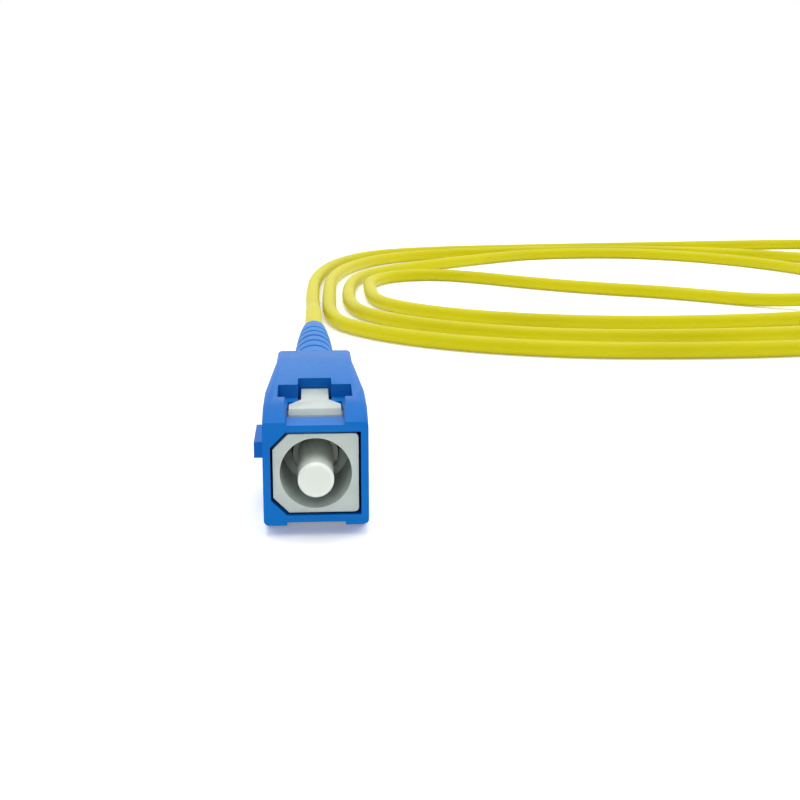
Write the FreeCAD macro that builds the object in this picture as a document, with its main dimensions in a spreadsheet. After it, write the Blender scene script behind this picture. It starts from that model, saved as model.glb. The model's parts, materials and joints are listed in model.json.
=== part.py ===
import FreeCAD, Part
import math
import os

import Sketcher

# SC fibre patch lead: a push-pull connector on each end of a 2 mm single-fibre cable.
# Millimetres. The origin is the centre of the near connector's ferrule tip. The connector's axis
# runs along +Y towards the cable, the latch faces look along +Z and -Z, and the key is on -X.

V = FreeCAD.Vector
doc = FreeCAD.newDocument("ScFibreConnector")

# ---------------------------------------------------------------- driving dimensions

SIZES = {
    # grip housing
    "gripWidth": 7.4,
    "gripHeight": 9.0,
    "gripLength": 24.6,
    "gripRearWidth": 6.3,
    "gripTaperStart": 7.5,
    "gripTaperEnd": 19.5,
    "gripEdgeRadius": 0.35,
    "leadInLength": 2.4,
    "leadInDrop": 0.8,
    "tailSlopeLength": 6.5,
    "tailSlopeDrop": 0.22,
    "tipProud": 1.8,
    "gripTravel": 1.2,
    # channel between the front ridges, window, wing pockets and notch on each latch face
    "channelWall": 0.5,
    "channelWidth": 4.4,
    "channelFloorWidth": 4.05,
    "windowStart": 2.6,
    "windowWidth": 4.05,
    "wingStart": 4.8,
    "wingLength": 4.3,
    "wingWidth": 5.5,
    "wingWall": 0.5,
    "notchWidth": 2.55,
    "notchEnd": 11.5,
    # key and finger grooves on the sides
    "keyStart": 6.9,
    "keyLength": 5.7,
    "keyHeight": 1.2,
    "keyReach": 0.9,
    "keyRoot": 0.45,
    "grooveCount": 4,
    "grooveWidth": 0.5,
    "groovePitch": 1.1,
    "grooveDepth": 0.12,
    "grooveHeight": 6.4,
    "grooveStart": 18.6,
    # plug frame
    "frameWidth": 6.0,
    "frameHeight": 5.66,
    "frameGap": 0.17,
    "frameSetback": 0.2,
    "frameChamfer": 1.1,
    "frameCornerRadius": 0.3,
    "frameBlockLength": 6.8,
    "frameLength": 19.0,
    "frameNeckWidth": 5.0,
    "neckGap": 0.1,
    "stepGap": 0.2,
    "socketBore": 5.06,
    "socketDepth": 7.0,
    "webThickness": 1.0,
    "springBore": 4.2,
    "bossStart": 3.8,
    "bossLength": 1.8,
    "bossShoulder": 1.6,
    "bossWidth": 3.8,
    "bossTailWidth": 2.05,
    "bossHeight": 3.7,
    "bossGap": 0.2,
    # ferrule, its flange, guide tube and buffered fibre
    "ferruleBore": 1.0,
    "ferruleWell": 1.4,
    "ferruleDiameter": 2.5,
    "ferruleLength": 10.5,
    "tipBevel": 0.2,
    "tipBevelLength": 0.3,
    "ferruleSeat": 3.0,
    "glueGrooveWidth": 0.7,
    "glueGrooveLead": 0.1,
    "glueGrooveDepth": 0.2,
    "sleeveWall": 0.45,
    "webClearance": 0.08,
    "collarDiameter": 4.0,
    "collarLength": 2.0,
    "collarGap": 0.1,
    "keywayWidth": 0.6,
    "keywayDepth": 0.4,
    "barrelDiameter": 2.6,
    "barrelLength": 2.9,
    "tubeDiameter": 1.6,
    "tubeReach": 0.4,
    "bufferDiameter": 0.9,
    "bufferReach": 2.9,
    # ferrule spring
    "springWire": 0.4,
    "springMeanDiameter": 3.4,
    "springTurns": 4.0,
    "springSeatGap": 0.02,
    # stop body, crimp sleeve and boot
    "stopInsert": 4.0,
    "stopFit": 0.05,
    "stopBore": 2.0,
    "stopFlangeDiameter": 4.8,
    "stopFlangeLength": 0.9,
    "shankDiameter": 3.0,
    "shankLength": 3.6,
    "lugWidth": 1.8,
    "lugLength": 1.0,
    "lugReach": 0.25,
    "lugGap": 0.12,
    "crimpGap": 0.1,
    "crimpWall": 0.33,
    "crimpFit": 0.02,
    "crimpLength": 4.0,
    "crimpStep": 0.5,
    "crimpNeckLength": 4.0,
    "bootGap": 0.5,
    "bootLength": 39.0,
    "bootDiameter": 4.8,
    "bootShoulder": 5.1,
    "bootWaistDiameter": 3.7,
    "bootWaist": 12.6,
    "bootTipDiameter": 2.6,
    "bootTipRadius": 0.3,
    "bootFit": 0.05,
    "bootOpening": 5.1,
    "ringCount": 3,
    "ringPitch": 5.0,
    "ringWidth": 0.8,
    "ringDepth": 0.12,
    "ringStart": 17.6,
    # cable
    "cableDiameter": 2.0,
    "cableGap": 0.5,
    "leadRun": 16.6,
    "leadDrop": 21.0,
    "farRun": 10.6,
    "coilLayers": 1.0,
    "coilGap": 0.1,
    # far connector's place beside the near one
    "farAcross": 142.0,
    "farAlong": 0.0,
}

sheet = doc.addObject("Spreadsheet::Sheet", "Sizes")
for row, (alias, value) in enumerate(SIZES.items(), start=1):
    sheet.set(f"A{row}", str(value))
    sheet.setAlias(f"A{row}", alias)
doc.recompute()


def size(alias):
    """The sheet's value, for the shapes that are computed here."""
    return float(getattr(sheet, alias))


def bound(text):
    """An expression with each word that names a size pointed at the sheet."""
    words = text.replace("(", " ( ").replace(")", " ) ").split()
    return " ".join(f"Sizes.{word}" if word in SIZES else word for word in words)


# places along the axis that several pieces share, behind the ferrule's tip
frameEndAt = "( tipProud + frameSetback + frameLength )"
stopStartAt = f"( {frameEndAt} - stopInsert )"
crimpStartAt = f"( {frameEndAt} + stopFlangeLength + crimpGap )"
bootStartAt = f"( {frameEndAt} + stopFlangeLength + bootGap )"
springSeatAt = "( tipProud + frameSetback + socketDepth + webThickness + collarGap + collarLength )"

# ---------------------------------------------------------------- drawing helpers


def makeBody(label, along, end):
    """A body whose own zero stands `along` behind the ferrule tip of the connector it belongs to."""
    body = doc.addObject("PartDesign::Body", label)
    body.Label = label
    body.setExpression("Placement.Base.x", bound(end["across"]))
    body.setExpression("Placement.Base.y", bound(f"{end['along']} + {along}"))
    return body


def makeSketch(body, name, role, offset=None):
    """A sketch on one of the body's own planes, moved along its normal by the offset."""
    sketch = body.newObject("Sketcher::SketchObject", name)
    plane = next(feature for feature in body.Origin.OriginFeatures if feature.Role == role)
    sketch.AttachmentSupport = [(plane, "")]
    sketch.MapMode = "FlatFace"
    if offset:
        sketch.setExpression("AttachmentOffset.Base.z", bound(offset))
    return sketch


def place(sketch, index, end, across, along):
    """Tie one point of the sketch to its distances from the sketch's origin."""
    for kind, text in (("DistanceX", across), ("DistanceY", along)):
        start = sketch.getPoint(index, end)
        value = start.x if kind == "DistanceX" else start.y
        tie = sketch.addConstraint(Sketcher.Constraint(kind, -1, 1, index, end, value))
        sketch.setExpression(f"Constraints[{tie}]", bound(text))


def drawOutline(sketch, corners):
    """A closed outline of straight lines through corners given as pairs of expressions."""
    first = len(sketch.Geometry)
    count = len(corners)
    ring = [
        V(math.cos(2 * math.pi * k / count), math.sin(2 * math.pi * k / count), 0) for k in range(count)
    ]
    for k in range(count):
        sketch.addGeometry(Part.LineSegment(ring[k], ring[(k + 1) % count]))
    for k in range(count):
        follower = first + (k + 1) % count
        sketch.addConstraint(Sketcher.Constraint("Coincident", first + k, 2, follower, 1))
    for k, (across, along) in enumerate(corners):
        place(sketch, first + k, 1, across, along)


def drawBox(sketch, left, right, low, high):
    drawOutline(sketch, [(left, low), (right, low), (right, high), (left, high)])


def drawCircle(sketch, diameter):
    """A circle round the sketch's origin."""
    roughRadius = 1
    index = sketch.addGeometry(Part.Circle(V(0, 0, 0), V(0, 0, 1), roughRadius))
    place(sketch, index, 3, "0", "0")
    tie = sketch.addConstraint(Sketcher.Constraint("Diameter", index, 2 * roughRadius))
    sketch.setExpression(f"Constraints[{tie}]", bound(diameter))


def pad(body, name, sketch, length, both=False, reverse=False):
    feature = body.newObject("PartDesign::Pad", name)
    feature.Profile = sketch
    feature.Midplane = both
    feature.Reversed = reverse
    feature.setExpression("Length", bound(length))
    return feature


def pocket(body, name, sketch, length, both=False, reverse=False):
    feature = body.newObject("PartDesign::Pocket", name)
    feature.Profile = sketch
    feature.Midplane = both
    feature.Reversed = reverse
    feature.setExpression("Length", bound(length))
    return feature


def turn(body, name, corners):
    """Turn a half-profile, given as (radius, along) pairs, about the connector's axis."""
    sketch = makeSketch(body, name + "Profile", "XY_Plane")
    drawOutline(sketch, corners)
    feature = body.newObject("PartDesign::Revolution", name)
    feature.Profile = sketch
    feature.ReferenceAxis = (sketch, ["V_Axis"])
    feature.Angle = 360
    return feature


def repeatAlong(body, name, feature, count, pitch):
    """Copies of one feature in a row along the connector's axis."""
    pattern = body.newObject("PartDesign::LinearPattern", name)
    pattern.Originals = [feature]
    axis = next(item for item in body.Origin.OriginFeatures if item.Role == "Y_Axis")
    pattern.Direction = (axis, [""])
    pattern.setExpression("Length", bound(f"( {count} - 1 ) * {pitch}"))
    pattern.setExpression("Occurrences", bound(count))
    body.Tip = pattern
    return pattern


def mirrored(body, name, features, role):
    """The same features again on the other side of one of the body's planes."""
    mirror = body.newObject("PartDesign::Mirrored", name)
    mirror.Originals = features
    plane = next(item for item in body.Origin.OriginFeatures if item.Role == role)
    mirror.MirrorPlane = (plane, [""])
    body.Tip = mirror
    return mirror


def edgesWhere(shape, test):
    """Names of the edges that run along the connector and whose every point passes the test."""
    names = []
    for number, edge in enumerate(shape.Edges, start=1):
        points = [vertex.Point for vertex in edge.Vertexes]
        runsAlong = edge.BoundBox.YLength > edge.BoundBox.XLength + edge.BoundBox.ZLength
        if points and runsAlong and all(test(point) for point in points):
            names.append(f"Edge{number}")
    return names


def roundEdges(body, name, base, test, radius):
    doc.recompute()
    fillet = body.newObject("PartDesign::Fillet", name)
    fillet.Base = (base, edgesWhere(base.Shape, test))
    fillet.setExpression("Radius", bound(radius))
    body.Tip = fillet
    return fillet


# ---------------------------------------------------------------- grip housing


def makeGripHousing(label, end):
    """Push-pull sleeve: it slides on the plug frame, and its windows let the latch hooks in."""
    body = makeBody(label, "tipProud", end)

    plan = makeSketch(body, "Plan", "XY_Plane")
    drawOutline(
        plan,
        [
            ("0 - gripWidth / 2", "0"),
            ("gripWidth / 2", "0"),
            ("gripWidth / 2", "gripTaperStart"),
            ("gripRearWidth / 2", "gripTaperEnd"),
            ("gripRearWidth / 2", "gripLength"),
            ("0 - gripRearWidth / 2", "gripLength"),
            ("0 - gripRearWidth / 2", "gripTaperEnd"),
            ("0 - gripWidth / 2", "gripTaperStart"),
        ],
    )
    block = pad(body, "Block", plan, "gripHeight", both=True)

    lead = makeSketch(body, "LeadIn", "YZ_Plane")
    drawOutline(
        lead,
        [
            ("0 - leadInLength", "gripHeight / 2 - 2 * leadInDrop"),
            ("leadInLength", "gripHeight / 2"),
            ("leadInLength", "gripHeight"),
            ("0 - leadInLength", "gripHeight"),
        ],
    )
    leadCut = pocket(body, "LeadInCut", lead, "2 * gripWidth", both=True)
    tail = makeSketch(body, "TailSlope", "YZ_Plane")
    drawOutline(
        tail,
        [
            ("gripLength - tailSlopeLength", "gripHeight / 2"),
            ("gripLength + tailSlopeLength", "gripHeight / 2 - 2 * tailSlopeDrop"),
            ("gripLength + tailSlopeLength", "gripHeight"),
            ("gripLength - tailSlopeLength", "gripHeight"),
        ],
    )
    tailCut = pocket(body, "TailSlopeCut", tail, "2 * gripWidth", both=True)
    slopes = mirrored(body, "SlopesBothFaces", [leadCut, tailCut], "XY_Plane")

    shoulder = size("gripHeight") / 2 - max(size("leadInDrop"), size("tailSlopeDrop")) - 0.01
    flank = size("gripRearWidth") / 2 - 0.01
    outer = roundEdges(
        body,
        "OuterEdges",
        slopes,
        lambda point: abs(point.z) > shoulder and abs(point.x) > flank,
        "gripEdgeRadius",
    )

    reachX = "( frameWidth / 2 + frameGap )"
    reachZ = "( frameHeight / 2 + frameGap )"
    channel = makeSketch(body, "Channel", "XZ_Plane", "leadInLength")
    drawOutline(
        channel,
        [
            ("0 - channelFloorWidth / 2", f"{reachZ} + channelWall"),
            ("channelFloorWidth / 2", f"{reachZ} + channelWall"),
            ("channelWidth / 2", "gripHeight / 2"),
            ("channelWidth / 2", "gripHeight"),
            ("0 - channelWidth / 2", "gripHeight"),
            ("0 - channelWidth / 2", "gripHeight / 2"),
        ],
    )
    channelCut = pocket(body, "ChannelCut", channel, "leadInLength + wingStart + wingLength / 2")

    window = makeSketch(body, "Window", "XY_Plane")
    drawBox(
        window,
        "0 - windowWidth / 2",
        "windowWidth / 2",
        "windowStart",
        "frameSetback + bossStart + bossLength + bossShoulder + bossGap",
    )
    windowCut = pocket(body, "WindowCut", window, "gripHeight", reverse=True)

    notch = makeSketch(body, "Notch", "XY_Plane")
    drawBox(notch, "0 - notchWidth / 2", "notchWidth / 2", "windowStart", "notchEnd")
    notchCut = pocket(body, "NotchCut", notch, "gripHeight", reverse=True)

    wings = makeSketch(body, "Wings", "XY_Plane", f"{reachZ} + wingWall")
    drawBox(wings, "0 - wingWidth / 2", "wingWidth / 2", "wingStart", "wingStart + wingLength")
    wingsCut = pocket(body, "WingsCut", wings, "gripHeight", reverse=True)
    mirrored(body, "BothLatchFaces", [channelCut, windowCut, notchCut, wingsCut], "XY_Plane")

    front = makeSketch(body, "FrontCavity", "XZ_Plane", "leadInLength")
    drawOutline(
        front,
        [
            (reachX, f"0 - {reachZ}"),
            (reachX, reachZ),
            (f"frameChamfer - {reachX}", reachZ),
            (f"0 - {reachX}", f"{reachZ} - frameChamfer"),
            (f"0 - {reachX}", f"frameChamfer - {reachZ}"),
            (f"frameChamfer - {reachX}", f"0 - {reachZ}"),
        ],
    )
    blockEnd = "frameSetback + frameBlockLength + stepGap"
    pocket(body, "FrontCavityCut", front, f"leadInLength + {blockEnd}")
    rearStart = "( frameSetback + frameBlockLength - gripTravel - stepGap )"
    rear = makeSketch(body, "RearCavity", "XZ_Plane", f"0 - {rearStart}")
    neckX = "( frameNeckWidth / 2 + neckGap )"
    drawBox(rear, f"0 - {neckX}", neckX, f"0 - {reachZ}", reachZ)
    pocket(body, "RearCavityCut", rear, f"frameSetback + frameLength + 2 * stepGap - {rearStart}")
    opening = makeSketch(body, "BootOpening", "XZ_Plane")
    drawCircle(opening, "bootOpening")
    pocket(body, "BootOpeningCut", opening, "gripLength + leadInLength")

    key = makeSketch(body, "Key", "YZ_Plane", "0 - gripWidth / 2 - keyReach")
    drawBox(key, "keyStart", "keyStart + keyLength", "0 - keyHeight / 2", "keyHeight / 2")
    pad(body, "KeyPad", key, "keyReach + keyRoot")

    groove = makeSketch(body, "FingerGroove", "XY_Plane")
    drawBox(
        groove,
        "gripRearWidth / 2 - grooveDepth",
        "gripRearWidth / 2 + grooveWidth",
        "grooveStart",
        "grooveStart + grooveWidth",
    )
    grooveCut = pocket(body, "FingerGrooveCut", groove, "grooveHeight", both=True)
    otherGroove = makeSketch(body, "OtherFingerGroove", "XY_Plane")
    drawBox(
        otherGroove,
        "0 - gripRearWidth / 2 - grooveWidth",
        "grooveDepth - gripRearWidth / 2",
        "grooveStart",
        "grooveStart + grooveWidth",
    )
    otherCut = pocket(body, "OtherFingerGrooveCut", otherGroove, "grooveHeight", both=True)
    for name, cut in (("FingerGrooves", grooveCut), ("OtherFingerGrooves", otherCut)):
        repeatAlong(body, name, cut, "grooveCount", "groovePitch")
    return body


# ---------------------------------------------------------------- plug frame


def makePlugFrame(label, end):
    """Square socket that enters the adapter, with a T-shaped latch boss on each latch face."""
    body = makeBody(label, "tipProud + frameSetback", end)

    face = makeSketch(body, "Face", "XZ_Plane")
    halfX, halfZ = "frameWidth / 2", "frameHeight / 2"
    drawOutline(
        face,
        [
            (halfX, f"0 - {halfZ}"),
            (halfX, halfZ),
            (f"frameChamfer - {halfX}", halfZ),
            (f"0 - {halfX}", f"{halfZ} - frameChamfer"),
            (f"0 - {halfX}", f"frameChamfer - {halfZ}"),
            (f"frameChamfer - {halfX}", f"0 - {halfZ}"),
        ],
    )
    block = pad(body, "Block", face, "frameBlockLength", reverse=True)
    corner = size("frameWidth") / 2 - 0.01
    roundEdges(body, "PlainCorners", block, lambda point: point.x > corner, "frameCornerRadius")

    neck = makeSketch(body, "Neck", "XZ_Plane", "0 - frameBlockLength")
    drawBox(neck, "0 - frameNeckWidth / 2", "frameNeckWidth / 2", f"0 - {halfZ}", halfZ)
    pad(body, "NeckPad", neck, "frameLength - frameBlockLength", reverse=True)

    boss = makeSketch(body, "Boss", "XY_Plane")
    bossEnd = "bossStart + bossLength"
    tailStart = f"{bossEnd} + bossShoulder"
    tailEnd = "notchEnd - frameSetback - bossGap"
    drawOutline(
        boss,
        [
            ("0 - bossWidth / 2", "bossStart"),
            ("bossWidth / 2", "bossStart"),
            ("bossWidth / 2", bossEnd),
            ("bossTailWidth / 2", tailStart),
            ("bossTailWidth / 2", tailEnd),
            ("0 - bossTailWidth / 2", tailEnd),
            ("0 - bossTailWidth / 2", tailStart),
            ("0 - bossWidth / 2", bossEnd),
        ],
    )
    pad(body, "BossPad", boss, "2 * bossHeight", both=True)

    socket = makeSketch(body, "Socket", "XZ_Plane")
    drawCircle(socket, "socketBore")
    pocket(body, "SocketCut", socket, "socketDepth")
    web = makeSketch(body, "WebHole", "XZ_Plane")
    drawCircle(web, "ferruleDiameter + 2 * sleeveWall + 2 * webClearance")
    pocket(body, "WebHoleCut", web, "frameLength")
    well = makeSketch(body, "SpringBore", "XZ_Plane", "0 - socketDepth - webThickness")
    drawCircle(well, "springBore")
    pocket(body, "SpringBoreCut", well, "frameLength")

    # the stop body's lugs snap into a slot through each side wall
    slot = makeSketch(body, "LugSlot", "YZ_Plane")
    lugStart = "( frameLength - stopInsert + lugLength )"
    drawBox(
        slot,
        f"{lugStart} - lugGap",
        f"{lugStart} + lugLength + lugGap",
        "0 - lugWidth / 2 - lugGap",
        "lugWidth / 2 + lugGap",
    )
    pocket(body, "LugSlotCut", slot, "2 * frameWidth", both=True)
    return body


# ---------------------------------------------------------------- ferrule assembly


def makeFerrule(label, end):
    """Zirconia rod with a bevelled tip, a glue groove at its seat and a well for the fibre's buffer."""
    body = makeBody(label, "0", end)
    grooveStart = "ferruleLength - ferruleSeat - glueGrooveLead"
    grooveR = "ferruleDiameter / 2 - glueGrooveDepth"
    turn(
        body,
        "Rod",
        [
            ("0", "0"),
            ("ferruleDiameter / 2 - tipBevel", "0"),
            ("ferruleDiameter / 2", "tipBevelLength"),
            ("ferruleDiameter / 2", grooveStart),
            (grooveR, grooveStart),
            (grooveR, f"{grooveStart} + glueGrooveWidth"),
            ("ferruleDiameter / 2", f"{grooveStart} + glueGrooveWidth"),
            ("ferruleDiameter / 2", "ferruleLength"),
            ("ferruleBore / 2", "ferruleLength"),
            ("ferruleBore / 2", "ferruleLength - ferruleWell"),
            ("0", "ferruleLength - ferruleWell"),
        ],
    )
    return body


def makeFlange(label, end):
    """Metal flange that the ferrule is pressed into, with four keyways round its collar."""
    body = makeBody(label, "ferruleLength - ferruleSeat", end)
    rodR, tubeR = "ferruleDiameter / 2", "tubeDiameter / 2"
    collarStart = f"( {springSeatAt} - collarLength - ferruleLength + ferruleSeat )"
    turn(
        body,
        "Hub",
        [
            (rodR, "0"),
            (f"{rodR} + sleeveWall", "0"),
            (f"{rodR} + sleeveWall", collarStart),
            ("collarDiameter / 2", collarStart),
            ("collarDiameter / 2", f"{collarStart} + collarLength"),
            ("barrelDiameter / 2", f"{collarStart} + collarLength"),
            ("barrelDiameter / 2", f"{collarStart} + collarLength + barrelLength"),
            (tubeR, f"{collarStart} + collarLength + barrelLength"),
            (tubeR, "ferruleSeat"),
            (rodR, "ferruleSeat"),
        ],
    )
    keyway = makeSketch(body, "Keyway", "XZ_Plane", f"0 - {collarStart}")
    drawBox(
        keyway,
        "collarDiameter / 2 - keywayDepth",
        "collarDiameter",
        "0 - keywayWidth / 2",
        "keywayWidth / 2",
    )
    cut = pocket(body, "KeywayCut", keyway, "collarLength")
    pattern = body.newObject("PartDesign::PolarPattern", "Keyways")
    pattern.Originals = [cut]
    axis = next(item for item in body.Origin.OriginFeatures if item.Role == "Y_Axis")
    pattern.Axis = (axis, [""])
    pattern.Angle = 360
    pattern.Occurrences = 4
    body.Tip = pattern
    return body


def makeGuideTube(label, end):
    body = makeBody(label, "ferruleLength", end)
    bore = "( bufferDiameter / 2 + crimpFit )"
    turn(
        body,
        "Tube",
        [
            (bore, "0"),
            ("tubeDiameter / 2", "0"),
            ("tubeDiameter / 2", f"{frameEndAt} + tubeReach - ferruleLength"),
            (bore, f"{frameEndAt} + tubeReach - ferruleLength"),
        ],
    )
    return body


def makeBuffer(label, end):
    """Buffered fibre from the ferrule's well, through the spring, into the stop body."""
    body = makeBody(label, "ferruleLength - ferruleWell", end)
    section = makeSketch(body, "Section", "XZ_Plane")
    drawCircle(section, "bufferDiameter")
    pad(body, "Run", section, f"{frameEndAt} + bufferReach - ferruleLength + ferruleWell", reverse=True)
    return body


def makeSpring(label, end):
    """Compression spring of square wire between the flange's collar and the stop body."""
    body = makeBody(label, f"{springSeatAt} + springWire / 2 + springSeatGap", end)
    section = makeSketch(body, "WireSection", "XY_Plane")
    drawBox(
        section,
        "springMeanDiameter / 2 - springWire / 2",
        "springMeanDiameter / 2 + springWire / 2",
        "0 - springWire / 2",
        "springWire / 2",
    )
    helix = body.newObject("PartDesign::AdditiveHelix", "Wire")
    helix.Profile = section
    helix.ReferenceAxis = (section, ["V_Axis"])
    helix.Mode = "height-turns-angle"
    helix.setExpression("Height", bound(f"{stopStartAt} - {springSeatAt} - springWire - 2 * springSeatGap"))
    helix.setExpression("Turns", bound("springTurns"))
    return body


# ---------------------------------------------------------------- stop body, crimp and boot


def makeStopBody(label, end):
    """Metal rear body: it closes the frame, backs the spring and carries the crimp on its shank."""
    body = makeBody(label, stopStartAt, end)
    shankEnd = "stopInsert + stopFlangeLength + shankLength"
    turn(
        body,
        "Spool",
        [
            ("stopBore / 2", "0"),
            ("springBore / 2 - stopFit", "0"),
            ("springBore / 2 - stopFit", "stopInsert"),
            ("stopFlangeDiameter / 2", "stopInsert"),
            ("stopFlangeDiameter / 2", "stopInsert + stopFlangeLength"),
            ("shankDiameter / 2", "stopInsert + stopFlangeLength"),
            ("shankDiameter / 2", shankEnd),
            ("stopBore / 2", shankEnd),
        ],
    )
    lug = makeSketch(body, "Lugs", "YZ_Plane")
    drawBox(lug, "lugLength", "2 * lugLength", "0 - lugWidth / 2", "lugWidth / 2")
    pad(body, "LugBar", lug, "springBore + 2 * lugReach", both=True)
    bore = makeSketch(body, "Bore", "XZ_Plane")
    drawCircle(bore, "stopBore")
    pocket(body, "BoreCut", bore, f"{shankEnd} + shankLength")
    return body


def makeCrimpSleeve(label, end):
    """Crimped over the shank and the yarn, and stepped down onto the jacket."""
    body = makeBody(label, crimpStartAt, end)
    shankR = "( shankDiameter / 2 + crimpFit )"
    jacketR = "( cableDiameter / 2 + crimpFit )"
    turn(
        body,
        "Sleeve",
        [
            (shankR, "0"),
            (f"{shankR} + crimpWall", "0"),
            (f"{shankR} + crimpWall", "crimpLength"),
            (f"{jacketR} + crimpWall", "crimpLength + crimpStep"),
            (f"{jacketR} + crimpWall", "crimpLength + crimpStep + crimpNeckLength"),
            (jacketR, "crimpLength + crimpStep + crimpNeckLength"),
            (jacketR, "crimpLength"),
            (shankR, "crimpLength"),
        ],
    )
    return body


def makeBoot(label, end):
    """Soft tapered boot: a socket over the crimp sleeve, then a tail of ringed, ever thinner steps."""
    body = makeBody(label, bootStartAt, end)
    socketR = "( shankDiameter / 2 + crimpWall + crimpFit + bootFit )"
    neckR = "( cableDiameter / 2 + crimpWall + crimpFit + bootFit )"
    exitR = "( cableDiameter / 2 + bootFit )"
    socketEnd = "( crimpGap - bootGap + crimpLength + crimpStep )"
    neckEnd = f"{socketEnd} + crimpNeckLength + bootFit"
    profile = [
        (socketR, "0"),
        ("bootDiameter / 2", "0"),
        ("bootDiameter / 2", "bootShoulder"),
        ("bootWaistDiameter / 2", "bootWaist"),
    ]
    # the groove that starts each step of the tail is cut to the same depth below that step
    above = "bootWaistDiameter / 2"
    for k in range(int(size("ringCount"))):
        start = f"ringStart + {k} * ringPitch"
        step = f"( ( bootWaistDiameter - bootTipDiameter ) / 2 * {k + 1} / ringCount )"
        below = f"bootWaistDiameter / 2 - {step}"
        profile += [
            (above, start),
            (f"{below} - ringDepth", start),
            (f"{below} - ringDepth", f"{start} + ringWidth"),
            (below, f"{start} + ringWidth"),
        ]
        above = below
    profile += [
        ("bootTipDiameter / 2", "bootLength - bootTipRadius"),
        ("bootTipDiameter / 2 - bootTipRadius / 2", "bootLength"),
        (exitR, "bootLength"),
        (exitR, neckEnd),
        (neckR, neckEnd),
        (neckR, socketEnd),
        (socketR, socketEnd),
    ]
    turn(body, "Cone", profile)
    return body


# ---------------------------------------------------------------- cable


cornerShare = 0.45
widestBend = 30.0


def smoothPath(points):
    """Straight runs joined by arcs, each as wide as its two half-runs and the widest bend allow."""
    edges, radii, start = [], [], points[0]
    for before, corner, after in zip(points, points[1:], points[2:]):
        back, ahead = before - corner, after - corner
        half = (math.pi - back.getAngle(ahead)) / 2
        reach = min(cornerShare * min(back.Length, ahead.Length), widestBend * math.tan(half))
        radii.append(reach / math.tan(half))
        back.normalize()
        ahead.normalize()
        inward = back + ahead
        inward.normalize()
        radius = radii[-1]
        middle = corner + inward * (radius / math.cos(half) - radius)
        entry, leave = corner + back * reach, corner + ahead * reach
        edges.append(Part.LineSegment(start, entry).toShape())
        edges.append(Part.Arc(entry, middle, leave).toShape())
        start = leave
    edges.append(Part.LineSegment(start, points[-1]).toShape())
    return Part.Wire(edges), radii


def makeTube(label, points):
    """A plain round tube along the path, checked against its section times its length."""
    path, radii = smoothPath(points)
    radius = size("cableDiameter") / 2
    heading = points[1] - points[0]
    section = Part.Wire(Part.Circle(points[0], heading, radius).toShape())
    shape = path.makePipeShell([section], True, False)
    expected = math.pi * radius**2 * path.Length
    print(f"{label}: {path.Length:.1f} mm, radii", [round(r, 1) for r in radii])
    if abs(shape.Volume - expected) > expected * 0.01:
        raise RuntimeError(f"{label}: volume {shape.Volume:.1f}, expected {expected:.1f}")
    tube = doc.addObject("Part::Feature", label)
    tube.Label = label
    tube.Shape = shape
    return tube


def quarter(start, finish, riseFirst):
    """A quarter ellipse between two points, leaving along Y if riseFirst, else along X."""
    centre = V(finish.x, start.y, start.z) if riseFirst else V(start.x, finish.y, start.z)
    halfX = abs(finish.x - start.x)
    halfY = abs(finish.y - start.y)
    long, short = max(halfX, halfY), min(halfX, halfY)
    ellipse = Part.Ellipse(centre, long, short)
    if halfY > halfX:
        ellipse.XAxis = V(0, 1, 0)
    low, high = ellipse.parameter(start), ellipse.parameter(finish)
    turnBack = (high - low) % (2 * math.pi) > math.pi
    if turnBack:
        low, high = high, low
    return Part.ArcOfEllipse(ellipse, low, high).toShape()


def makeCoil(label, outer, inner, step, floor, height):
    """Flat ring that holds the loose turns: `outer` and `inner` are the left, rear, right and front
    extremes of its two edges, and `step` is the ledge where the lead from the boot comes in."""
    rings = []
    for extremes, ledge in ((outer, step), (inner, 0)):
        left, rear, right, front = [V(x, y, floor) for x, y in extremes]
        entry = V(left.x - ledge, left.y, floor)
        edges = [quarter(entry, rear, True), quarter(rear, right, False)]
        edges += [quarter(right, front, True)]
        if ledge:
            low = V(left.x, coilLow, floor)
            edges += [quarter(front, low, False), Part.LineSegment(low, left).toShape()]
            edges += [Part.LineSegment(left, entry).toShape()]
        else:
            edges += [quarter(front, left, False)]
        rings.append(Part.Wire(Part.sortEdges(edges)[0]))
    solid = Part.Face(rings[0]).extrude(V(0, 0, height))
    solid = solid.cut(Part.Face(rings[1]).extrude(V(0, 0, height)))
    coil = doc.addObject("Part::Feature", label)
    coil.Label = label
    coil.Shape = solid
    return coil


# ---------------------------------------------------------------- assembly

ENDS = (
    {"prefix": "", "across": "0", "along": "0"},
    {"prefix": "far_", "across": "farAcross", "along": "farAlong"},
)
PIECES = (
    ("grip_housing", makeGripHousing),
    ("plug_frame", makePlugFrame),
    ("ferrule", makeFerrule),
    ("ferrule_flange", makeFlange),
    ("guide_tube", makeGuideTube),
    ("fibre_buffer", makeBuffer),
    ("ferrule_spring", makeSpring),
    ("stop_body", makeStopBody),
    ("crimp_sleeve", makeCrimpSleeve),
    ("boot", makeBoot),
)

nodes = []
for side in ENDS:
    for piece, build in PIECES:
        nodes.append(build(side["prefix"] + piece, side))
doc.recompute()

rest = -size("gripHeight") / 2
radius = size("cableDiameter") / 2
lying = rest + radius
farX, farY = size("farAcross"), size("farAlong")
frameEnd = size("tipProud") + size("frameSetback") + size("frameLength")
cableStart = frameEnd + size("stopFlangeLength") + size("shankLength") + size("cableGap")
bootEnd = frameEnd + size("stopFlangeLength") + size("bootGap") + size("bootLength")
leadCorner = bootEnd + size("leadRun")

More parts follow.
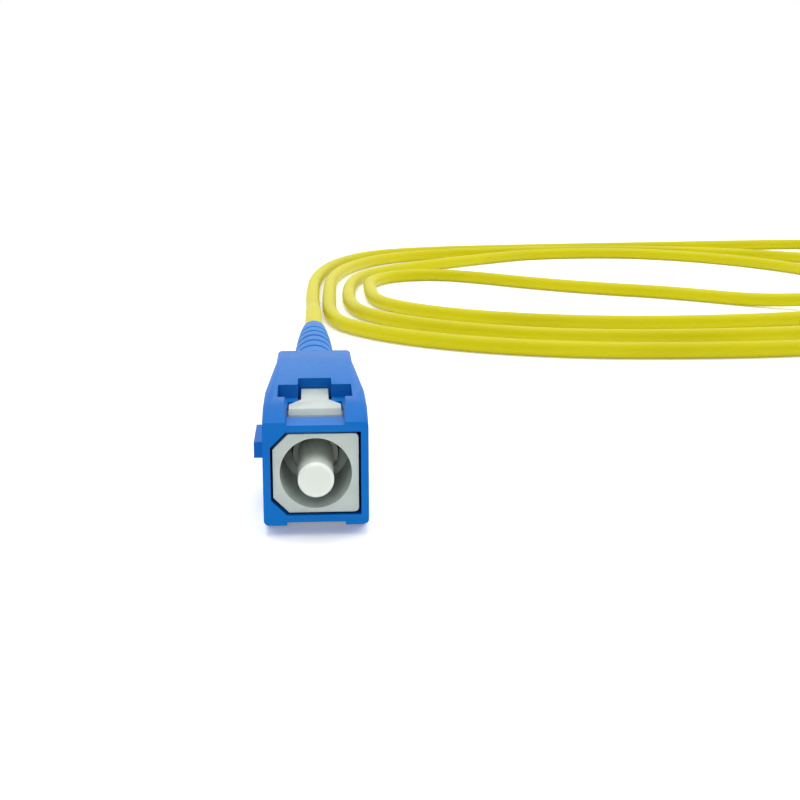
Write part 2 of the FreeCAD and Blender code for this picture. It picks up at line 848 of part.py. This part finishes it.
# the coil's loose turns lie between these two rings of extremes: left, rear, right, front
coilLow = 100.0
coilLeft = radius + size("coilGap")
coilOuter = [(coilLeft, 120.0), (60.0, 189.0), (133.0, 127.0), (41.0, 69.2)]
coilInner = [(10.0, 121.0), (46.0, 173.2), (95.8, 114.0), (46.0, 90.6)]
coilHeight = size("coilLayers") * size("cableDiameter")
nodes.append(makeCoil("cable_coil", coilOuter, coilInner, radius + coilLeft, rest, coilHeight))

# both ends of the cable start inside a boot, so their first runs are longer than they look
leadPoints = [
    V(0, cableStart, 0),
    V(0, leadCorner, 0),
    V(0, leadCorner + size("leadDrop"), lying),
    V(0, coilOuter[0][1], lying),
]
nodes.append(makeTube("cable_lead", leadPoints))

# the last stretch crosses the ring's open middle, climbs over its turns and reaches the far boot
over = rest + coilHeight + 1.4 * radius
tailPoints = [
    V(8.8, 121.0, lying),
    V(9.0, 136.5, lying),
    V(21.5, 142.5, lying),
    V(42.0, 126.5, lying),
    V(69.0, 110.2, lying),
    V(84.5, 102.3, over),
    V(116.0, 90.5, over),
    V(134.5, 84.0, over - radius),
    V(farX, farY + bootEnd + size("farRun"), 0),
    V(farX, farY + cableStart, 0),
]
nodes.append(makeTube("cable_tail", tailPoints))
doc.recompute()

# ---------------------------------------------------------------- checks and export

for item in doc.Objects:
    if {"Invalid", "Error"} & set(item.State):
        raise RuntimeError(f"{item.Label} failed: {item.State}")
os.makedirs("parts", exist_ok=True)
for node in nodes:
    shape = node.Shape
    if shape.isNull() or not shape.isValid() or len(shape.Solids) != 1:
        raise RuntimeError(f"{node.Label}: {len(shape.Solids)} solids, valid {shape.isValid()}")
    shape.exportStep(f"parts/{node.Label}.step")
    print(f"{node.Label}: {shape.Volume:.2f} mm3")
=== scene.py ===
import json
import math

import bmesh
import bpy
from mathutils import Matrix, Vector


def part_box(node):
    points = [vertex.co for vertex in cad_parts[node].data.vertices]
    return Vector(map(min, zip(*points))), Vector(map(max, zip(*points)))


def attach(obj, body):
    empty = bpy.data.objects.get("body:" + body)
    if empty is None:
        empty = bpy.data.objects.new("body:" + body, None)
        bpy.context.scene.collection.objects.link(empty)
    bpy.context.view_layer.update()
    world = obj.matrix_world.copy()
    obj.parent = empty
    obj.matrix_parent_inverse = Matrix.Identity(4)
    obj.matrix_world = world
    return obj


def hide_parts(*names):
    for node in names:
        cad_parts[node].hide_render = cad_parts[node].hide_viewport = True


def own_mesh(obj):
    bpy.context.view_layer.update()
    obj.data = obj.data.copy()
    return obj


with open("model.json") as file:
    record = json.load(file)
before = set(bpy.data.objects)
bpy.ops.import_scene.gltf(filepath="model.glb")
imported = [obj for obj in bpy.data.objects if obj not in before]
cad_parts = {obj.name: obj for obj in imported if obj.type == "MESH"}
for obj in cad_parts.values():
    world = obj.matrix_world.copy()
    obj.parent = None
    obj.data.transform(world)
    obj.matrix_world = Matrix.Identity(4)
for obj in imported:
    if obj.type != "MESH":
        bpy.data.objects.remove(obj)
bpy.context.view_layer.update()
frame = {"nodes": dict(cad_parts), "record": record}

# metres throughout; the connector runs along +Y from its ferrule tip and rests at the level below
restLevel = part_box("grip_housing")[0].z
nearEnd = ""
farEnd = "far_"
nodeSlots = {s["node"]: s["material_slot"] for s in frame["record"]["subparts"]}

cameraSetup = {
    "place": (0.0, -0.0882, 0.02517),
    "pitchDown": 12.48,
    "yawRight": 3.74,
    "lens": 60.03,
    "sensor": 36,
    "nearest": 0.005,
    "farthest": 10,
}


def placeCamera(setup):
    data = bpy.data.cameras.new("camera")
    data.lens = setup["lens"]
    data.sensor_width = setup["sensor"]
    data.clip_start = setup["nearest"]
    data.clip_end = setup["farthest"]
    camera = bpy.data.objects.new("camera", data)
    camera.location = setup["place"]
    camera.rotation_euler = (
        math.radians(90 - setup["pitchDown"]),
        0,
        math.radians(-setup["yawRight"]),
    )
    bpy.context.scene.collection.objects.link(camera)
    bpy.context.scene.camera = camera


placeCamera(cameraSetup)
print("camera placed")

# one cable: out of the near boot, round three loose turns and into the far boot
cableSetup = {
    "radius": 0.001,
    "length": 1.3,
    "perQuarter": 5,
    "roundness": 7,
    "smoothness": 10,
    "exit": (0, 0.0614, 0),
    # the boot holds each end of the cable straight up to its mouth
    "lead": [
        (0, 0.034, 0),
        (0, 0.0614, 0),
        (0, 0.078, 0),
        (0, 0.099, -0.0035),
        (-0.0002, 0.120, -0.0035),
        (0.0006, 0.140, -0.0035),
        (0.0040, 0.158, -0.0035),
        (0.0110, 0.1720, -0.0035),
        (0.0225, 0.1778, -0.0035),
        (0.0370, 0.1805, -0.0035),
        (0.0525, 0.1825, -0.0035),
        (0.0690, 0.1840, -0.0035),
        (0.0855, 0.1862, -0.0035),
    ],
    # where each quarter turn ends; a list is a less even stretch, which ends at its last place
    "start": (0.100, 0.1875),
    "turns": [
        (0.132, 0.131),
        (0.044, 0.0662),
        (0.0022, 0.098),
        [
            (0.0024, 0.118),
            (0.0031, 0.138),
            (0.0070, 0.1545),
            (0.0142, 0.1670),
            (0.0250, 0.1733),
            (0.0380, 0.1765),
            (0.0530, 0.1778),
        ],
        (0.113, 0.120),
        (0.044, 0.0757),
        (0.0053, 0.108),
        [
            (0.0055, 0.1245),
            (0.0076, 0.1385),
            (0.0145, 0.1490),
            (0.0240, 0.1572),
            (0.0340, 0.1655),
            (0.0430, 0.1718),
            (0.0530, 0.1732),
        ],
        (0.093, 0.113),
        (0.047, 0.0868),
        (0.009, 0.1155),
    ],
    "tail": [
        (0.0090, 0.1240, -0.0035),
        (0.0093, 0.1318, -0.0035),
        (0.0134, 0.1392, -0.0035),
        (0.0216, 0.1410, -0.0035),
        (0.0283, 0.1362, -0.0035),
        (0.0350, 0.1295, -0.0035),
        (0.0445, 0.1221, -0.0035),
        (0.0560, 0.1160, -0.0035),
        (0.0690, 0.1040, -0.0035),
        (0.0845, 0.0980, -0.0011),
        (0.1160, 0.0905, -0.0011),
        (0.1345, 0.0840, -0.0021),
        (0.1420, 0.0720, 0),
        (0.1420, 0.0614, 0),
        (0.1420, 0.0340, 0),
    ],
}


def quarterTurn(start, finish, alongFirst, count):
    # corners of the polygon that hugs a quarter ellipse, so that the spline touches the ellipse
    step = math.pi / 2 / count
    outset = 1 / math.cos(step / 2)
    across = finish[0] - start[0]
    along = finish[1] - start[1]
    corners = []
    for k in range(count):
        angle = step * (k + 0.5)
        late = 1 - outset * math.cos(angle)
        early = outset * math.sin(angle)
        shareX, shareY = (late, early) if alongFirst else (early, late)
        corners.append((start[0] + across * shareX, start[1] + along * shareY))
    return corners


def cableRoute(setup):
    lying = restLevel + setup["radius"]
    route = list(setup["lead"])
    place = setup["start"]
    alongFirst = False
    for stretch in setup["turns"]:
        if isinstance(stretch, list):
            corners, place = stretch[:-1], stretch[-1]
        else:
            corners = quarterTurn(place, stretch, alongFirst, setup["perQuarter"])
            place = stretch
        route += [(x, y, lying) for x, y in corners]
        alongFirst = not alongFirst
    return route + setup["tail"]


def makeCable(setup):
    data = bpy.data.curves.new("patchCable", "CURVE")
    data.dimensions = "3D"
    # the points carry the radius, so that the curve's own box is no larger than the cable
    data.bevel_depth = 1
    data.bevel_resolution = setup["roundness"]
    data.resolution_u = setup["smoothness"]
    data.render_resolution_u = setup["smoothness"]
    data.use_fill_caps = True
    spline = data.splines.new("NURBS")
    route = cableRoute(setup)
    spline.points.add(len(route) - 1)
    for point, place in zip(spline.points, route):
        point.co = (*place, 1)
        point.radius = setup["radius"]
    spline.order_u = 3
    spline.use_endpoint_u = True
    cable = bpy.data.objects.new("patchCable", data)
    bpy.context.scene.collection.objects.link(cable)
    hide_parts("cable_lead", "cable_coil", "cable_tail")
    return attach(cable, "core")


cable = makeCable(cableSetup)
print("cable laid")


meshSetup = {
    "mergeWithin": 1e-7,
    "flatBelow": 0.5,  # degrees, as are the next two
    "smoothBelow": 35,
    "roundAbove": 28,
    "roundSteps": 3,
}


def pieceName(prefix, name):
    return name if prefix == nearEnd else "far" + name[0].upper() + name[1:]


def finishMesh(name, shape, node, smoothBelow=meshSetup["smoothBelow"]):
    # put a shape in the scene in place of a CAD node, on the body that node belongs to
    mesh = bpy.data.meshes.new(name)
    shape.to_mesh(mesh)
    shape.free()
    mesh.materials.append(finishes[nodeSlots[node]])
    mesh.shade_smooth()
    mesh.set_sharp_from_angle(angle=math.radians(smoothBelow))
    piece = bpy.data.objects.new(name, mesh)
    bpy.context.scene.collection.objects.link(piece)
    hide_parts(node)
    bodies = frame["record"]["behaviour"]["bodies"]
    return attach(piece, next(body for body, nodes in bodies.items() if node in nodes))


def roundEdges(piece, width, sharper=meshSetup["roundAbove"]):
    bevel = piece.modifiers.new("softEdges", "BEVEL")
    bevel.width = width
    bevel.segments = meshSetup["roundSteps"]
    bevel.limit_method = "ANGLE"
    bevel.angle_limit = math.radians(sharper)
    bevel.use_clamp_overlap = True
    bevel.harden_normals = True


def softened(name, node, edge, shaping=None):
    # the CAD node's own shape with its edges rounded as a mould leaves them
    mesh = frame["nodes"][node].data
    shape = bmesh.new()
    shape.from_mesh(mesh)
    bmesh.ops.remove_doubles(shape, verts=shape.verts, dist=meshSetup["mergeWithin"])
    bmesh.ops.dissolve_limit(
        shape,
        angle_limit=math.radians(meshSetup["flatBelow"]),
        use_dissolve_boundaries=False,
        verts=shape.verts,
        edges=shape.edges,
        delimit=set(),
    )
    if shaping:
        shaping(shape)
    # flats with holes are split evenly first, or the rounding folds thin slivers over them
    bmesh.ops.triangulate(
        shape,
        faces=[f for f in shape.faces if len(f.verts) > 4],
        quad_method="BEAUTY",
        ngon_method="BEAUTY",
    )
    piece = finishMesh(name, shape, node)
    roundEdges(piece, edge)
    return piece


bossSetup = {"ramp": 0.0004, "margin": 1e-5}


def rampBosses(shape):
    # the latch bosses lead in with a slope along the top of their front faces
    crown = max(abs(v.co.z) for v in shape.verts) - bossSetup["margin"]
    front = min(v.co.y for v in shape.verts if abs(v.co.z) > crown) + bossSetup["margin"]
    leading = [
        e for e in shape.edges if all(abs(v.co.z) > crown and v.co.y < front for v in e.verts)
    ]
    bmesh.ops.bevel(
        shape,
        geom=leading,
        offset=bossSetup["ramp"],
        offset_type="OFFSET",
        affect="EDGES",
        segments=1,
        profile=0.5,
        material=-1,
    )


# the noise behind every finish lies mostly between these two values
noiseSpread = (0.3, 0.7)

# tint varies the colour; grain varies the roughness and, where it has a depth, the surface
finishSetup = {
    # satin blue moulding: faint flow marks, fine spark-eroded grain
    "housing": {
        "name": "housingPlastic",
        "colour": (0.0031, 0.14, 0.492),
        "tint": {
            "scale": 260,
            "detail": 2,
            "stretch": (1, 0.35, 1),
            "darker": (0.0026, 0.13, 0.47),
            "lighter": (0.0036, 0.15, 0.515),
        },
        "grain": {
            "scale": 5200,
            "detail": 4,
            "smoothest": 0.36,
            "roughest": 0.46,
            "depth": 0.000008,
            "strength": 0.25,
        },
        "sockets": {"Roughness": 0.4, "Specular IOR Level": 0.07},
    },
    # pale grey-green moulding, a little translucent
    "frame": {
        "name": "framePlastic",
        "colour": (0.5, 0.56, 0.53),
        "tint": {
            "scale": 420,
            "detail": 2,
            "darker": (0.47, 0.53, 0.5),
            "lighter": (0.52, 0.58, 0.55),
        },
        "grain": {
            "scale": 6500,
            "detail": 3,
            "smoothest": 0.36,
            "roughest": 0.46,
            "depth": 0.000005,
            "strength": 0.2,
        },
        "sockets": {
            "Roughness": 0.42,
            "Specular IOR Level": 0.2,
            "Subsurface Weight": 0.3,
            "Subsurface Radius": (0.0005, 0.0006, 0.0005),
            "Subsurface Scale": 1,
        },
    },
    # white zirconia with turned marks too fine to see except in the gloss
    "ceramic": {
        "name": "polishedCeramic",
        "colour": (0.66, 0.7, 0.65),
        "tint": {
            "scale": 900,
            "detail": 2,
            "stretch": (0.2, 6, 0.2),
            "darker": (0.64, 0.68, 0.63),
            "lighter": (0.68, 0.72, 0.67),
        },
        "grain": {
            "scale": 900,
            "detail": 2,
            "stretch": (0.2, 6, 0.2),
            "smoothest": 0.16,
            "roughest": 0.26,
        },
        "sockets": {
            "Roughness": 0.2,
            "Coat Weight": 0.2,
            "Coat Roughness": 0.14,
            "Subsurface Weight": 0.3,
            "Subsurface Radius": (0.0007, 0.0008, 0.0007),
            "Subsurface Scale": 1,
        },
    },
    # nickel plate over turned brass; its colour is darkened well below real nickel, as painted
    # shade for the dark depth of the bore
    "nickel": {
        "name": "shadeDarkenedPlatedMetal",
        # painted shade: a much darker metal colour standing in for the shade deep inside the bore
        "colour": (0.21, 0.22, 0.2),
        "grain": {
            "scale": 1500,
            "detail": 3,
            "stretch": (0.15, 8, 0.15),
            "smoothest": 0.36,
            "roughest": 0.5,
            "depth": 0.000004,
            "strength": 0.3,
        },
        "sockets": {"Roughness": 0.42, "Metallic": 1},
    },
    # drawn steel wire
    "spring": {
        "name": "springSteel",
        "colour": (0.5, 0.5, 0.5),
        "grain": {"scale": 4000, "detail": 2, "smoothest": 0.22, "roughest": 0.36},
        "sockets": {"Roughness": 0.28, "Metallic": 1},
    },
    # plain aluminium, dulled where the die squeezed it
    "crimp": {
        "name": "crimpMetal",
        "colour": (0.7, 0.7, 0.72),
        "grain": {
            "scale": 700,
            "detail": 4,
            "smoothest": 0.34,
            "roughest": 0.55,
            "depth": 0.00001,
            "strength": 0.3,
        },
        "sockets": {"Roughness": 0.42, "Metallic": 1},
    },
    # soft blue boot, duller than the housing
    "boot": {
        "name": "bootRubber",
        "colour": (0.01, 0.17, 0.55),
        "tint": {
            "scale": 300,
            "detail": 3,
            "darker": (0.008, 0.155, 0.52),
            "lighter": (0.012, 0.185, 0.58),
        },
        "grain": {
            "scale": 4200,
            "detail": 4,
            "smoothest": 0.46,
            "roughest": 0.6,
            "depth": 0.00001,
            "strength": 0.3,
        },
        "sockets": {"Roughness": 0.5, "Specular IOR Level": 0.25},
    },
    # smooth yellow jacket with slight waves from the extruder
    "jacket": {
        "name": "cableJacket",
        "colour": (0.57, 0.525, 0.002),
        "tint": {
            "scale": 55,
            "detail": 3,
            "darker": (0.54, 0.495, 0.0015),
            "lighter": (0.6, 0.555, 0.0025),
        },
        "grain": {
            "scale": 1600,
            "detail": 3,
            "smoothest": 0.38,
            "roughest": 0.5,
            "depth": 0.00002,
            "strength": 0.25,
        },
        "sockets": {
            "Roughness": 0.42,
            "Specular IOR Level": 0.14,
            "Subsurface Weight": 0.08,
            "Subsurface Radius": (0.0006, 0.0005, 0.0001),
            "Subsurface Scale": 1,
        },
    },
    # undyed plastic tube behind the flange
    "tube": {
        "name": "naturalTube",
        "colour": (0.82, 0.81, 0.76),
        "tint": {
            "scale": 900,
            "detail": 2,
            "darker": (0.78, 0.77, 0.72),
            "lighter": (0.85, 0.84, 0.8),
        },
        "sockets": {"Roughness": 0.45},
    },
    # the fibre's own white coat
    "buffer": {
        "name": "bufferCoat",
        "colour": (0.86, 0.86, 0.86),
        "tint": {
            "scale": 1200,
            "detail": 2,
            "darker": (0.82, 0.82, 0.82),
            "lighter": (0.88, 0.88, 0.88),
        },
        "sockets": {"Roughness": 0.38},
    },
}


def startMaterial(name, colour, sockets):
    material = bpy.data.materials.new(name)
    material.use_nodes = True
    shader = material.node_tree.nodes["Principled BSDF"]
    shader.inputs["Base Color"].default_value = (*colour, 1)
    for socket, value in sockets.items():
        shader.inputs[socket].default_value = value
    return material, shader


def addNoise(tree, where, look):
    if "stretch" in look:
        mapping = tree.nodes.new("ShaderNodeMapping")
        mapping.inputs["Scale"].default_value = look["stretch"]
        tree.links.new(where, mapping.inputs["Vector"])
        where = mapping.outputs["Vector"]
    noise = tree.nodes.new("ShaderNodeTexNoise")
    noise.inputs["Scale"].default_value = look["scale"]
    noise.inputs["Detail"].default_value = look["detail"]
    tree.links.new(where, noise.inputs["Vector"])
    return noise.outputs["Fac"]


def addTint(tree, where, look, shader):
    ramp = tree.nodes.new("ShaderNodeValToRGB")
    for element, position, colour in zip(
        ramp.color_ramp.elements, noiseSpread, (look["darker"], look["lighter"])
    ):
        element.position = position
        element.color = (*colour, 1)
    tree.links.new(addNoise(tree, where, look), ramp.inputs["Fac"])
    tree.links.new(ramp.outputs["Color"], shader.inputs["Base Color"])


def addGrain(tree, where, look, shader):
    grain = addNoise(tree, where, look)
    spread = tree.nodes.new("ShaderNodeMapRange")
    spread.inputs["From Min"].default_value = noiseSpread[0]
    spread.inputs["From Max"].default_value = noiseSpread[1]
    spread.inputs["To Min"].default_value = look["smoothest"]
    spread.inputs["To Max"].default_value = look["roughest"]
    tree.links.new(grain, spread.inputs["Value"])
    tree.links.new(spread.outputs["Result"], shader.inputs["Roughness"])
    if "depth" in look:
        bump = tree.nodes.new("ShaderNodeBump")
        bump.inputs["Strength"].default_value = look["strength"]
        bump.inputs["Distance"].default_value = look["depth"]
        tree.links.new(grain, bump.inputs["Height"])
        tree.links.new(bump.outputs["Normal"], shader.inputs["Normal"])


def mixFinish(look):
    material, shader = startMaterial(look["name"], look["colour"], look["sockets"])
    tree = material.node_tree
    where = tree.nodes.new("ShaderNodeTexCoord").outputs["Object"]
    if "tint" in look:
        addTint(tree, where, look["tint"], shader)
    if "grain" in look:
        addGrain(tree, where, look["grain"], shader)
    return material


finishes = {slot: mixFinish(look) for slot, look in finishSetup.items()}
cable.data.materials.append(finishes["jacket"])
print("finishes mixed")

for node, slot in nodeSlots.items():
    mesh = frame["nodes"][node].data
    mesh.materials.clear()
    mesh.materials.append(finishes[slot])

# each piece with rounded edges: its node, its own name, its rounding and what else shapes it
roundedSetup = [
    ("grip_housing", "gripShell", 0.00016, None),
    ("plug_frame", "plugBody", 0.00008, rampBosses),
    ("stop_body", "stopRing", 0.00005, None),
    ("ferrule_flange", "flangeHub", 0.00006, None),
    ("crimp_sleeve", "crimpRing", 0.00006, None),
]


def roundedPieces(prefix):
    return [
        softened(pieceName(prefix, name), prefix + node, edge, shaping)
        for node, name, edge, shaping in roundedSetup
    ]


roundedPieces(nearEnd)
farPieces = roundedPieces(farEnd)
print("edges rounded")


def turned(name, node, profile, setup):
    # spin (distance along, radius) pairs about the connector's axis, then round what is sharp
    low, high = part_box(node)
    across = (low.x + high.x) / 2
    shape = bmesh.new()
    points = [shape.verts.new((across + radius, along, 0)) for along, radius in profile]
    edges = [shape.edges.new(pair) for pair in zip(points, points[1:])]
    bmesh.ops.spin(
        shape,
        geom=points + edges,
        cent=(across, 0, 0),
        axis=(0, 1, 0),
        angle=math.tau,
        steps=setup["steps"],
        use_merge=True,
    )
    bmesh.ops.remove_doubles(shape, verts=shape.verts, dist=meshSetup["mergeWithin"])
    bmesh.ops.recalc_face_normals(shape, faces=shape.faces)
    piece = finishMesh(name, shape, node, setup["smoothBelow"])
    roundEdges(piece, setup["edge"], setup["roundAbove"])
    return piece


ferruleSetup = {
    "steps": 96,
    "smoothBelow": 20,
    "roundAbove": 25,
    "bevel": 0.0002,
    "bevelLength": 0.0003,
    "edge": 0.00005,
    "crown": 0.00002,
    "wellRadius": 0.0005,
    "wellDepth": 0.0014,
}


def makeFerrule(setup, prefix):
    # crowned end face, bevel, barrel and the well that takes the fibre
    low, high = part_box(prefix + "ferrule")
    radius = (high.x - low.x) / 2
    face = radius - setup["bevel"]
    profile = [
        (low.y, 0),
        (low.y + setup["crown"] / 4, face / 2),
        (low.y + setup["crown"], face),
        (low.y + setup["bevelLength"], radius),
        (high.y, radius),
        (high.y, setup["wellRadius"]),
        (high.y - setup["wellDepth"], setup["wellRadius"]),
        (high.y - setup["wellDepth"], 0),
    ]
    return turned(pieceName(prefix, "ferruleRod"), prefix + "ferrule", profile, setup)


makeFerrule(ferruleSetup, nearEnd)
farPieces.append(makeFerrule(ferruleSetup, farEnd))
print("ferrules turned")

bootSetup = {
    # distance from the boot's front end, and radius there
    "outline": [
        (0.0, 0.0024),
        (0.0051, 0.0024),
        (0.0090, 0.00228),
        (0.0126, 0.00219),
        (0.0176, 0.0021),
        (0.0226, 0.00202),
        (0.0276, 0.0019),
        (0.0316, 0.00177),
        (0.0356, 0.00158),
        (0.0387, 0.00138),
        (0.0390, 0.0012),
    ],
    # from its tail end back to its front end
    "inside": [
        (0.0390, 0.00105),
        (0.00815, 0.00105),
        (0.00815, 0.0014),
        (0.0041, 0.0014),
        (0.0041, 0.0019),
        (0.0, 0.0019),
    ],
    "steps": 72,
    "smoothBelow": 32,
    "roundAbove": 32,
    "edge": 0.00006,
    "rings": 7,
    "ringStart": 0.0118,
    "ringPitch": 0.0034,
    "ringWidth": 0.0009,
    "ringSlope": 0.00012,
    "ringDepth": 0.0002,
}


def outlineRadius(outline, along):
    for (start, first), (stop, last) in zip(outline, outline[1:]):
        if start <= along <= stop:
            return first + (last - first) * (along - start) / (stop - start)
    return outline[-1][1]


def makeBoot(setup, prefix):
    # one smooth taper with ring slots that let it bend
    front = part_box(prefix + "boot")[0].y
    outline = setup["outline"]
    profile = []
    slots = [setup["ringStart"] + k * setup["ringPitch"] for k in range(setup["rings"])]
    for along, radius in outline:
        if not any(s <= along <= s + setup["ringWidth"] for s in slots):
            profile.append((along, radius))
    for start in slots:
        stop = start + setup["ringWidth"]
        for along, cut in (
            (start, 0),
            (start + setup["ringSlope"], setup["ringDepth"]),
            (stop - setup["ringSlope"], setup["ringDepth"]),
            (stop, 0),
        ):
            profile.append((along, outlineRadius(outline, along) - cut))
    profile.sort()
    profile += setup["inside"] + [profile[0]]
    placed = [(front + along, radius) for along, radius in profile]
    return turned(pieceName(prefix, "softBoot"), prefix + "boot", placed, setup)


makeBoot(bootSetup, nearEnd)
farPieces.append(makeBoot(bootSetup, farEnd))
print("boots turned")

springSetup = {
    "wire": 0.0002,
    "turns": 6,
    "flat": 0.75,  # turns closed up at each end
    "perTurn": 16,
    "gap": 0.00004,
    "roundness": 3,
    "smoothness": 3,
}


def makeSpring(setup, prefix):
    # round wire with its end turns closed up
    low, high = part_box(prefix + "ferrule_spring")
    across = (low.x + high.x) / 2
    mean = (high.x - low.x) / 2 - setup["wire"]
    first = low.y + setup["wire"] + setup["gap"]
    last = high.y - setup["wire"] - setup["gap"]
    count = setup["turns"] * setup["perTurn"]
    name = pieceName(prefix, "springWire")
    data = bpy.data.curves.new(name, "CURVE")
    data.dimensions = "3D"
    data.bevel_depth = 1
    data.bevel_resolution = setup["roundness"]
    data.resolution_u = setup["smoothness"]
    data.use_fill_caps = True
    spline = data.splines.new("NURBS")
    spline.points.add(count)
    for k, point in enumerate(spline.points):
        turn = k / setup["perTurn"]
        share = (turn - setup["flat"]) / (setup["turns"] - 2 * setup["flat"])
        along = first + (last - first) * min(max(share, 0), 1)
        point.co = (
            across + mean * math.cos(math.tau * turn),
            along,
            mean * math.sin(math.tau * turn),
            1,
        )
        point.radius = setup["wire"]
    spline.order_u = 3
    spline.use_endpoint_u = True
    coil = bpy.data.objects.new(name, data)
    bpy.context.scene.collection.objects.link(coil)
    bpy.context.view_layer.update()
    mesh = bpy.data.meshes.new_from_object(coil)
    bpy.data.objects.remove(coil)
    mesh.name = name
    mesh.materials.clear()
    mesh.materials.append(finishes["spring"])
    mesh.shade_smooth()
    piece = bpy.data.objects.new(name, mesh)
    bpy.context.scene.collection.objects.link(piece)
    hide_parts(prefix + "ferrule_spring")
    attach(piece, "core")
    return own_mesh(piece)


makeSpring(springSetup, nearEnd)
farPieces.append(makeSpring(springSetup, farEnd))
print("springs wound")

studioSetup = {
    "floorSize": 1.6,
    "floorColour": (0.92, 0.92, 0.92),
    "floorRoughness": 0.85,
    "floorGlow": 0.22,  # a light table, so that shadows stay faint
    "skyFront": 0.02,  # the side of the camera stays dimmer, so that upright faces read darker
    "skyTop": 1.1,
    "skyRim": 1.0,
    "skyTilt": 0.55,
    "skyFade": (-0.3, 0.8),
    "rimFade": (0.06, 0.16),
    "aim": (0.02, 0.03, 0),
    "lights": [
        ("topLight", (-0.05, 0.2, 0.7), 0.5, 2.0),
        ("sideLight", (0.6, 0.05, 0.5), 0.5, 1.1),
        ("frontLight", (-0.04, -0.55, 0.18), 0.12, 0.5),
    ],
}


def makeFloor(setup):
    data = bpy.data.meshes.new("studioFloor")
    shape = bmesh.new()
    bmesh.ops.create_grid(shape, x_segments=1, y_segments=1, size=setup["floorSize"] / 2)
    bmesh.ops.translate(shape, verts=shape.verts, vec=(0, 0, restLevel))
    shape.to_mesh(data)
    shape.free()
    floor = bpy.data.objects.new("studioFloor", data)
    bpy.context.scene.collection.objects.link(floor)
    sockets = {
        "Roughness": setup["floorRoughness"],
        "Emission Color": (1, 1, 1, 1),
        "Emission Strength": setup["floorGlow"],
    }
    paper = startMaterial("studioPaper", setup["floorColour"], sockets)[0]
    data.materials.append(paper)


def makeLights(setup):
    for name, place, size, power in setup["lights"]:
        lamp = bpy.data.lights.new(name, "AREA")
        lamp.size = size
        lamp.energy = power
        light = bpy.data.objects.new(name, lamp)
        light.location = place
        aim = Vector(setup["aim"]) - Vector(place)
        light.rotation_euler = aim.to_track_quat("-Z", "Y").to_euler()
        bpy.context.scene.collection.objects.link(light)


def addFade(tree, value, span, start, end):
    fade = tree.nodes.new("ShaderNodeMapRange")
    fade.interpolation_type = "SMOOTHSTEP"
    fade.inputs["From Min"].default_value = span[0]
    fade.inputs["From Max"].default_value = span[1]
    fade.inputs["To Min"].default_value = start
    fade.inputs["To Max"].default_value = end
    tree.links.new(value, fade.inputs["Value"])
    return fade.outputs["Result"]


def makeSky(setup):
    # white at the horizon and overhead, dimmer half-way up on the camera's side
    world = bpy.data.worlds.new("studioSky")
    world.use_nodes = True
    tree = world.node_tree
    nodes = tree.nodes
    links = tree.links
    where = nodes.new("ShaderNodeTexCoord")
    split = nodes.new("ShaderNodeSeparateXYZ")
    links.new(where.outputs["Generated"], split.inputs["Vector"])
    slant = nodes.new("ShaderNodeMath")
    slant.operation = "MULTIPLY_ADD"
    slant.inputs[1].default_value = setup["skyTilt"]
    links.new(split.outputs["Y"], slant.inputs[0])
    links.new(split.outputs["Z"], slant.inputs[2])
    dome = addFade(
        tree, slant.outputs["Value"], setup["skyFade"], setup["skyFront"], setup["skyTop"]
    )
    rim = addFade(tree, split.outputs["Z"], setup["rimFade"], 1, 0)
    blend = nodes.new("ShaderNodeMix")
    blend.data_type = "FLOAT"
    blend.inputs["B"].default_value = setup["skyRim"]
    links.new(rim, blend.inputs["Factor"])
    links.new(dome, blend.inputs["A"])
    links.new(blend.outputs["Result"], nodes["Background"].inputs["Strength"])
    nodes["Background"].inputs["Color"].default_value = (1, 1, 1, 1)
    bpy.context.scene.world = world


makeFloor(studioSetup)
makeLights(studioSetup)
makeSky(studioSetup)
bpy.context.scene.view_settings.view_transform = "Standard"
print("studio lit")
